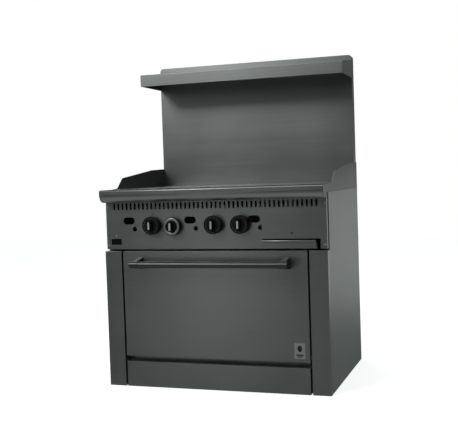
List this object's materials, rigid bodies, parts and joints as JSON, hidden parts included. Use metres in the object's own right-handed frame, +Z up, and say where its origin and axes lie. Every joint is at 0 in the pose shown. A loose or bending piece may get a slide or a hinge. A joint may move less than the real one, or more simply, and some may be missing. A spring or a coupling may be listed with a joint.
{
  "type": "commercial gas range",
  "caption": "Free-standing kitchen gas range: griddle top with grease trough and drawer, front knobs, drop-down oven door, tall riser with a shelf.",
  "frame": {"origin": "bottom centre of the whole appliance, on the floor", "axes": "+Z up, the front faces -Y, +X is to the right of someone who faces the front"},
  "size_m": [0.914, 0.776, 1.344],
  "materials": {
    "stainless": "brushed stainless sheet, grain along the length",
    "stainless_sides": "stainless sheet, fine satin",
    "stainless_splash": "stainless plate, satin",
    "handle_steel": "polished stainless tube",
    "griddle_steel": "ground steel plate",
    "galvanised": "aluminised steel sheet",
    "oven_enamel": "vitreous enamel on steel",
    "rack_chrome": "plated wire",
    "burner_iron": "burner casting",
    "black_pipe": "black steel pipe",
    "valve_brass": "turned brass",
    "control_metal": "die-cast body",
    "tube_aluminium": "drawn tube",
    "insulation": "mineral wool slab",
    "gasket": "woven fibre seal",
    "plated_steel": "zinc plated",
    "knob_black": "moulded heat-resistant plastic",
    "ring_chrome": "bright plated ring",
    "switch_black": "moulded plastic",
    "badge": "plain satin plate"
  },
  "bodies": {
    "cabinet": {"stile_left": "stainless", "stile_right": "stainless", "kick_plate": "stainless", "control_panel": "stainless", "front_rail": "stainless", "riser_front": "stainless", "shelf": "stainless", "shelf_ends": "stainless", "side_panel_left": "stainless_sides", "side_panel_right": "stainless_sides", "side_splash_left": "stainless_splash", "side_splash_right": "stainless_splash", "grease_trough": "stainless_splash", "griddle_plate": "griddle_steel", "base_frame": "galvanised", "rear_panel": "galvanised", "riser_back": "galvanised", "grease_chute": "galvanised", "griddle_supports": "galvanised", "flue_duct": "galvanised", "heat_shield": "galvanised", "oven_front_frame": "galvanised", "drawer_guides": "galvanised", "oven_liner": "oven_enamel", "oven_deck": "oven_enamel", "oven_racks": "rack_chrome", "rack_guides": "rack_chrome", "oven_burner": "burner_iron", "griddle_burners": "burner_iron", "gas_manifold": "black_pipe", "gas_inlet_pipe": "black_pipe", "griddle_valves": "valve_brass", "pilots": "valve_brass", "thermostat": "control_metal", "safety_valve": "control_metal", "supply_tubes": "tube_aluminium", "oven_insulation": "insulation", "door_gasket": "gasket", "hinge_pins": "plated_steel", "door_springs": "plated_steel", "panel_screws": "plated_steel", "switch_housing": "switch_black"},
    "door": {"door_outer": "stainless", "door_inner": "galvanised", "door_insulation": "insulation", "door_handle": "handle_steel", "handle_posts": "handle_steel", "badge_plate": "badge", "hinge_arms": "galvanised"},
    "left_control": {"knob_left": "knob_black", "stem_left": "valve_brass"},
    "oven_control": {"knob_oven": "knob_black", "thermostat_ring": "ring_chrome", "stem_oven": "valve_brass"},
    "middle_control": {"knob_middle": "knob_black", "stem_middle": "valve_brass"},
    "right_control": {"knob_right": "knob_black", "stem_right": "valve_brass"},
    "drawer": {"grease_drawer": "stainless"},
    "rocker": {"switch_rocker": "switch_black"}
  },
  "joints": [
    {"name": "door_hinge", "type": "hinge", "parent": "cabinet", "child": "door", "pos_m": [0, -0.284, 0.138], "axis": [1, 0, 0], "range_deg": [0, 90], "stiffness_Nm_per_rad": 10, "springref_deg": -28.65, "deforming": ["door_springs"]},
    {"name": "left_valve", "type": "hinge", "parent": "cabinet", "child": "left_control", "pos_m": [-0.2487, -0.294, 0.648], "axis": [0, -1, 0], "range_deg": [0, 90]},
    {"name": "middle_valve", "type": "hinge", "parent": "cabinet", "child": "middle_control", "pos_m": [0.0108, -0.294, 0.648], "axis": [0, -1, 0], "range_deg": [0, 90]},
    {"name": "right_valve", "type": "hinge", "parent": "cabinet", "child": "right_control", "pos_m": [0.1185, -0.294, 0.648], "axis": [0, -1, 0], "range_deg": [0, 90]},
    {"name": "thermostat_dial", "type": "hinge", "parent": "cabinet", "child": "oven_control", "pos_m": [-0.1606, -0.294, 0.643], "axis": [0, -1, 0], "range_deg": [0, 270]},
    {"name": "drawer_slide", "type": "slide", "parent": "cabinet", "child": "drawer", "axis": [0, -1, 0], "range_m": [0, 0.3]},
    {"name": "switch_rock", "type": "hinge", "parent": "cabinet", "child": "rocker", "pos_m": [-0.4115, -0.285, 0.583], "axis": [0, 0, 1], "range_deg": [-14, 0]}
  ]
}
